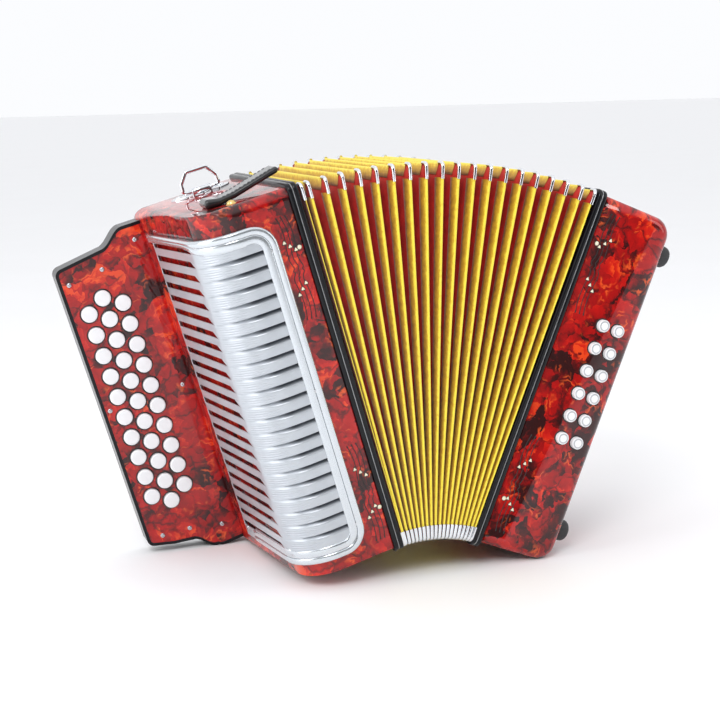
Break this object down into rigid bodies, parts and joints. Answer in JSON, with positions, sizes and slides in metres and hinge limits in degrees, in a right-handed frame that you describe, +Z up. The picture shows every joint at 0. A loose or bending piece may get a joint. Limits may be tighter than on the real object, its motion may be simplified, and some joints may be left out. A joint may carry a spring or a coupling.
{
  "type": "button accordion",
  "caption": "Diatonic button accordion held open as a fan: sprung melody keys with pallets, pleated bellows, sprung bass buttons, chrome grille and leather straps.",
  "frame": {"origin": "centre of the footprint, on the surface that the open accordion stands on", "axes": "+X from the keyboard side towards the bass side, +Y from the front towards the player, +Z up"},
  "size_m": [0.5294, 0.1915, 0.3599],
  "materials": {
    "red_celluloid": "polished pearl celluloid",
    "chrome": "polished",
    "black_lacquer": "gloss",
    "reed_wood": "satin",
    "white_button": "polished",
    "black_leather": "semi-gloss",
    "bellows_cloth": "folded card with cloth tape",
    "black_rubber": "matt"
  },
  "bodies": {
    "treble": {"treble_casing": "red_celluloid", "treble_reed_blocks": "reed_wood", "treble_grille": "chrome", "fingerboard_frame": "black_lacquer", "fingerboard_plate": "red_celluloid", "treble_fittings": "chrome", "bellows_straps": "black_leather", "treble_bellows_frame": "black_lacquer", "bellows_folds": "bellows_cloth"},
    "strap_loop_upper": {"strap_loop_upper": "chrome"},
    "strap_loop_lower": {"strap_loop_lower": "chrome"},
    "bass": {"bass_bellows_frame": "black_lacquer", "bass_casing": "red_celluloid", "bass_reed_blocks": "reed_wood", "bass_feet": "black_rubber", "hand_strap": "black_leather"},
    "air_button": {"air_button": "chrome"},
    "treble_key_01": {"treble_key_01": "white_button"},
    "treble_key_02": {"treble_key_02": "white_button"},
    "treble_key_03": {"treble_key_03": "white_button"},
    "treble_key_04": {"treble_key_04": "white_button"},
    "treble_key_05": {"treble_key_05": "white_button"},
    "treble_key_06": {"treble_key_06": "white_button"},
    "treble_key_07": {"treble_key_07": "white_button"},
    "treble_key_08": {"treble_key_08": "white_button"},
    "treble_key_09": {"treble_key_09": "white_button"},
    "treble_key_10": {"treble_key_10": "white_button"},
    "treble_key_11": {"treble_key_11": "white_button"},
    "treble_key_12": {"treble_key_12": "white_button"},
    "treble_key_13": {"treble_key_13": "white_button"},
    "treble_key_14": {"treble_key_14": "white_button"},
    "treble_key_15": {"treble_key_15": "white_button"},
    "treble_key_16": {"treble_key_16": "white_button"},
    "treble_key_17": {"treble_key_17": "white_button"},
    "treble_key_18": {"treble_key_18": "white_button"},
    "treble_key_19": {"treble_key_19": "white_button"},
    "treble_key_20": {"treble_key_20": "white_button"},
    "treble_key_21": {"treble_key_21": "white_button"},
    "treble_key_22": {"treble_key_22": "white_button"},
    "treble_key_23": {"treble_key_23": "white_button"},
    "treble_key_24": {"treble_key_24": "white_button"},
    "treble_key_25": {"treble_key_25": "white_button"},
    "treble_key_26": {"treble_key_26": "white_button"},
    "treble_key_27": {"treble_key_27": "white_button"},
    "treble_key_28": {"treble_key_28": "white_button"},
    "treble_key_29": {"treble_key_29": "white_button"},
    "treble_key_30": {"treble_key_30": "white_button"},
    "treble_key_31": {"treble_key_31": "white_button"},
    "bass_button_01": {"bass_button_01": "white_button"},
    "bass_button_02": {"bass_button_02": "white_button"},
    "bass_button_03": {"bass_button_03": "white_button"},
    "bass_button_04": {"bass_button_04": "white_button"},
    "bass_button_05": {"bass_button_05": "white_button"},
    "bass_button_06": {"bass_button_06": "white_button"},
    "bass_button_07": {"bass_button_07": "white_button"},
    "bass_button_08": {"bass_button_08": "white_button"},
    "bass_button_09": {"bass_button_09": "white_button"},
    "bass_button_10": {"bass_button_10": "white_button"},
    "bass_button_11": {"bass_button_11": "white_button"},
    "bass_button_12": {"bass_button_12": "white_button"}
  },
  "joints": [
    {"name": "bellows_fan", "type": "hinge", "parent": "treble", "child": "bass", "pos_m": [0.02847, 0.0025, 0.03697], "axis": [0, 1, 0], "range_deg": [-37.9, 12], "deforming": ["bellows_folds"]},
    {"name": "strap_loop_upper_swing", "type": "hinge", "parent": "treble", "child": "strap_loop_upper", "pos_m": [-0.13546, 0.0505, 0.33534], "axis": [0.964, 0, 0.266], "range_deg": [-80, 80]},
    {"name": "strap_loop_lower_swing", "type": "hinge", "parent": "treble", "child": "strap_loop_lower", "pos_m": [-0.04764, 0.0505, 0.01703], "axis": [-0.964, 0, -0.266], "range_deg": [0, 85]},
    {"name": "treble_key_01_press", "type": "hinge", "parent": "treble", "child": "treble_key_01", "pos_m": [-0.15647, 0.083, 0.24981], "axis": [0.266, 0, -0.964], "range_deg": [0, 2.19], "stiffness_Nm_per_rad": 0.25, "springref_deg": -6.88},
    {"name": "treble_key_02_press", "type": "hinge", "parent": "treble", "child": "treble_key_02", "pos_m": [-0.15117, 0.083, 0.23061], "axis": [0.266, 0, -0.964], "range_deg": [0, 2.19], "stiffness_Nm_per_rad": 0.25, "springref_deg": -6.88},
    {"name": "treble_key_03_press", "type": "hinge", "parent": "treble", "child": "treble_key_03", "pos_m": [-0.14588, 0.083, 0.21141], "axis": [0.266, 0, -0.964], "range_deg": [0, 2.19], "stiffness_Nm_per_rad": 0.25, "springref_deg": -6.88},
    {"name": "treble_key_04_press", "type": "hinge", "parent": "treble", "child": "treble_key_04", "pos_m": [-0.14058, 0.083, 0.1922], "axis": [0.266, 0, -0.964], "range_deg": [0, 2.19], "stiffness_Nm_per_rad": 0.25, "springref_deg": -6.88},
    {"name": "treble_key_05_press", "type": "hinge", "parent": "treble", "child": "treble_key_05", "pos_m": [-0.13528, 0.083, 0.173], "axis": [0.266, 0, -0.964], "range_deg": [0, 2.19], "stiffness_Nm_per_rad": 0.25, "springref_deg": -6.88},
    {"name": "treble_key_06_press", "type": "hinge", "parent": "treble", "child": "treble_key_06", "pos_m": [-0.12998, 0.083, 0.1538], "axis": [0.266, 0, -0.964], "range_deg": [0, 2.19], "stiffness_Nm_per_rad": 0.25, "springref_deg": -6.88},
    {"name": "treble_key_07_press", "type": "hinge", "parent": "treble", "child": "treble_key_07", "pos_m": [-0.12468, 0.083, 0.13459], "axis": [0.266, 0, -0.964], "range_deg": [0, 2.19], "stiffness_Nm_per_rad": 0.25, "springref_deg": -6.88},
    {"name": "treble_key_08_press", "type": "hinge", "parent": "treble", "child": "treble_key_08", "pos_m": [-0.11939, 0.083, 0.11539], "axis": [0.266, 0, -0.964], "range_deg": [0, 2.19], "stiffness_Nm_per_rad": 0.25, "springref_deg": -6.88},
    {"name": "treble_key_09_press", "type": "hinge", "parent": "treble", "child": "treble_key_09", "pos_m": [-0.11409, 0.083, 0.09619], "axis": [0.266, 0, -0.964], "range_deg": [0, 2.19], "stiffness_Nm_per_rad": 0.25, "springref_deg": -6.88},
    {"name": "treble_key_10_press", "type": "hinge", "parent": "treble", "child": "treble_key_10", "pos_m": [-0.10879, 0.083, 0.07699], "axis": [0.266, 0, -0.964], "range_deg": [0, 2.19], "stiffness_Nm_per_rad": 0.25, "springref_deg": -6.88},
    {"name": "treble_key_11_press", "type": "hinge", "parent": "treble", "child": "treble_key_11", "pos_m": [-0.15912, 0.083, 0.25941], "axis": [0.266, 0, -0.964], "range_deg": [0, 2.7], "stiffness_Nm_per_rad": 0.25, "springref_deg": -6.88},
    {"name": "treble_key_12_press", "type": "hinge", "parent": "treble", "child": "treble_key_12", "pos_m": [-0.15382, 0.083, 0.24021], "axis": [0.266, 0, -0.964], "range_deg": [0, 2.7], "stiffness_Nm_per_rad": 0.25, "springref_deg": -6.88},
    {"name": "treble_key_13_press", "type": "hinge", "parent": "treble", "child": "treble_key_13", "pos_m": [-0.14852, 0.083, 0.22101], "axis": [0.266, 0, -0.964], "range_deg": [0, 2.7], "stiffness_Nm_per_rad": 0.25, "springref_deg": -6.88},
    {"name": "treble_key_14_press", "type": "hinge", "parent": "treble", "child": "treble_key_14", "pos_m": [-0.14323, 0.083, 0.2018], "axis": [0.266, 0, -0.964], "range_deg": [0, 2.7], "stiffness_Nm_per_rad": 0.25, "springref_deg": -6.88},
    {"name": "treble_key_15_press", "type": "hinge", "parent": "treble", "child": "treble_key_15", "pos_m": [-0.13793, 0.083, 0.1826], "axis": [0.266, 0, -0.964], "range_deg": [0, 2.7], "stiffness_Nm_per_rad": 0.25, "springref_deg": -6.88},
    {"name": "treble_key_16_press", "type": "hinge", "parent": "treble", "child": "treble_key_16", "pos_m": [-0.13263, 0.083, 0.1634], "axis": [0.266, 0, -0.964], "range_deg": [0, 2.7], "stiffness_Nm_per_rad": 0.25, "springref_deg": -6.88},
    {"name": "treble_key_17_press", "type": "hinge", "parent": "treble", "child": "treble_key_17", "pos_m": [-0.12733, 0.083, 0.1442], "axis": [0.266, 0, -0.964], "range_deg": [0, 2.7], "stiffness_Nm_per_rad": 0.25, "springref_deg": -6.88},
    {"name": "treble_key_18_press", "type": "hinge", "parent": "treble", "child": "treble_key_18", "pos_m": [-0.12203, 0.083, 0.12499], "axis": [0.266, 0, -0.964], "range_deg": [0, 2.7], "stiffness_Nm_per_rad": 0.25, "springref_deg": -6.88},
    {"name": "treble_key_19_press", "type": "hinge", "parent": "treble", "child": "treble_key_19", "pos_m": [-0.11674, 0.083, 0.10579], "axis": [0.266, 0, -0.964], "range_deg": [0, 2.7], "stiffness_Nm_per_rad": 0.25, "springref_deg": -6.88},
    {"name": "treble_key_20_press", "type": "hinge", "parent": "treble", "child": "treble_key_20", "pos_m": [-0.11144, 0.083, 0.08659], "axis": [0.266, 0, -0.964], "range_deg": [0, 2.7], "stiffness_Nm_per_rad": 0.25, "springref_deg": -6.88},
    {"name": "treble_key_21_press", "type": "hinge", "parent": "treble", "child": "treble_key_21", "pos_m": [-0.10614, 0.083, 0.06739], "axis": [0.266, 0, -0.964], "range_deg": [0, 2.7], "stiffness_Nm_per_rad": 0.25, "springref_deg": -6.88},
    {"name": "treble_key_22_press", "type": "hinge", "parent": "treble", "child": "treble_key_22", "pos_m": [-0.15647, 0.083, 0.24981], "axis": [0.266, 0, -0.964], "range_deg": [0, 3.53], "stiffness_Nm_per_rad": 0.25, "springref_deg": -6.88},
    {"name": "treble_key_23_press", "type": "hinge", "parent": "treble", "child": "treble_key_23", "pos_m": [-0.15117, 0.083, 0.23061], "axis": [0.266, 0, -0.964], "range_deg": [0, 3.53], "stiffness_Nm_per_rad": 0.25, "springref_deg": -6.88},
    {"name": "treble_key_24_press", "type": "hinge", "parent": "treble", "child": "treble_key_24", "pos_m": [-0.14588, 0.083, 0.21141], "axis": [0.266, 0, -0.964], "range_deg": [0, 3.53], "stiffness_Nm_per_rad": 0.25, "springref_deg": -6.88},
    {"name": "treble_key_25_press", "type": "hinge", "parent": "treble", "child": "treble_key_25", "pos_m": [-0.14058, 0.083, 0.1922], "axis": [0.266, 0, -0.964], "range_deg": [0, 3.53], "stiffness_Nm_per_rad": 0.25, "springref_deg": -6.88},
    {"name": "treble_key_26_press", "type": "hinge", "parent": "treble", "child": "treble_key_26", "pos_m": [-0.13528, 0.083, 0.173], "axis": [0.266, 0, -0.964], "range_deg": [0, 3.53], "stiffness_Nm_per_rad": 0.25, "springref_deg": -6.88},
    {"name": "treble_key_27_press", "type": "hinge", "parent": "treble", "child": "treble_key_27", "pos_m": [-0.12998, 0.083, 0.1538], "axis": [0.266, 0, -0.964], "range_deg": [0, 3.53], "stiffness_Nm_per_rad": 0.25, "springref_deg": -6.88},
    {"name": "treble_key_28_press", "type": "hinge", "parent": "treble", "child": "treble_key_28", "pos_m": [-0.12468, 0.083, 0.13459], "axis": [0.266, 0, -0.964], "range_deg": [0, 3.53], "stiffness_Nm_per_rad": 0.25, "springref_deg": -6.88},
    {"name": "treble_key_29_press", "type": "hinge", "parent": "treble", "child": "treble_key_29", "pos_m": [-0.11939, 0.083, 0.11539], "axis": [0.266, 0, -0.964], "range_deg": [0, 3.53], "stiffness_Nm_per_rad": 0.25, "springref_deg": -6.88},
    {"name": "treble_key_30_press", "type": "hinge", "parent": "treble", "child": "treble_key_30", "pos_m": [-0.11409, 0.083, 0.09619], "axis": [0.266, 0, -0.964], "range_deg": [0, 3.53], "stiffness_Nm_per_rad": 0.25, "springref_deg": -6.88},
    {"name": "treble_key_31_press", "type": "hinge", "parent": "treble", "child": "treble_key_31", "pos_m": [-0.10879, 0.083, 0.07699], "axis": [0.266, 0, -0.964], "range_deg": [0, 3.53], "stiffness_Nm_per_rad": 0.25, "springref_deg": -6.88},
    {"name": "bass_button_01_press", "type": "slide", "parent": "bass", "child": "bass_button_01", "axis": [0, 1, 0], "range_m": [0, 0.003], "stiffness_N_per_m": 200, "springref_m": -0.003},
    {"name": "bass_button_02_press", "type": "slide", "parent": "bass", "child": "bass_button_02", "axis": [0, 1, 0], "range_m": [0, 0.003], "stiffness_N_per_m": 200, "springref_m": -0.003},
    {"name": "bass_button_03_press", "type": "slide", "parent": "bass", "child": "bass_button_03", "axis": [0, 1, 0], "range_m": [0, 0.003], "stiffness_N_per_m": 200, "springref_m": -0.003},
    {"name": "bass_button_04_press", "type": "slide", "parent": "bass", "child": "bass_button_04", "axis": [0, 1, 0], "range_m": [0, 0.003], "stiffness_N_per_m": 200, "springref_m": -0.003},
    {"name": "bass_button_05_press", "type": "slide", "parent": "bass", "child": "bass_button_05", "axis": [0, 1, 0], "range_m": [0, 0.003], "stiffness_N_per_m": 200, "springref_m": -0.003},
    {"name": "bass_button_06_press", "type": "slide", "parent": "bass", "child": "bass_button_06", "axis": [0, 1, 0], "range_m": [0, 0.003], "stiffness_N_per_m": 200, "springref_m": -0.003},
    {"name": "bass_button_07_press", "type": "slide", "parent": "bass", "child": "bass_button_07", "axis": [0, 1, 0], "range_m": [0, 0.003], "stiffness_N_per_m": 200, "springref_m": -0.003},
    {"name": "bass_button_08_press", "type": "slide", "parent": "bass", "child": "bass_button_08", "axis": [0, 1, 0], "range_m": [0, 0.003], "stiffness_N_per_m": 200, "springref_m": -0.003},
    {"name": "bass_button_09_press", "type": "slide", "parent": "bass", "child": "bass_button_09", "axis": [0, 1, 0], "range_m": [0, 0.003], "stiffness_N_per_m": 200, "springref_m": -0.003},
    {"name": "bass_button_10_press", "type": "slide", "parent": "bass", "child": "bass_button_10", "axis": [0, 1, 0], "range_m": [0, 0.003], "stiffness_N_per_m": 200, "springref_m": -0.003},
    {"name": "bass_button_11_press", "type": "slide", "parent": "bass", "child": "bass_button_11", "axis": [0, 1, 0], "range_m": [0, 0.003], "stiffness_N_per_m": 200, "springref_m": -0.003},
    {"name": "bass_button_12_press", "type": "slide", "parent": "bass", "child": "bass_button_12", "axis": [0, 1, 0], "range_m": [0, 0.003], "stiffness_N_per_m": 200, "springref_m": -0.003},
    {"name": "air_button_press", "type": "slide", "parent": "bass", "child": "air_button", "axis": [-0.924, 0, 0.3823], "range_m": [0, 0.003], "stiffness_N_per_m": 200, "springref_m": -0.003}
  ]
}
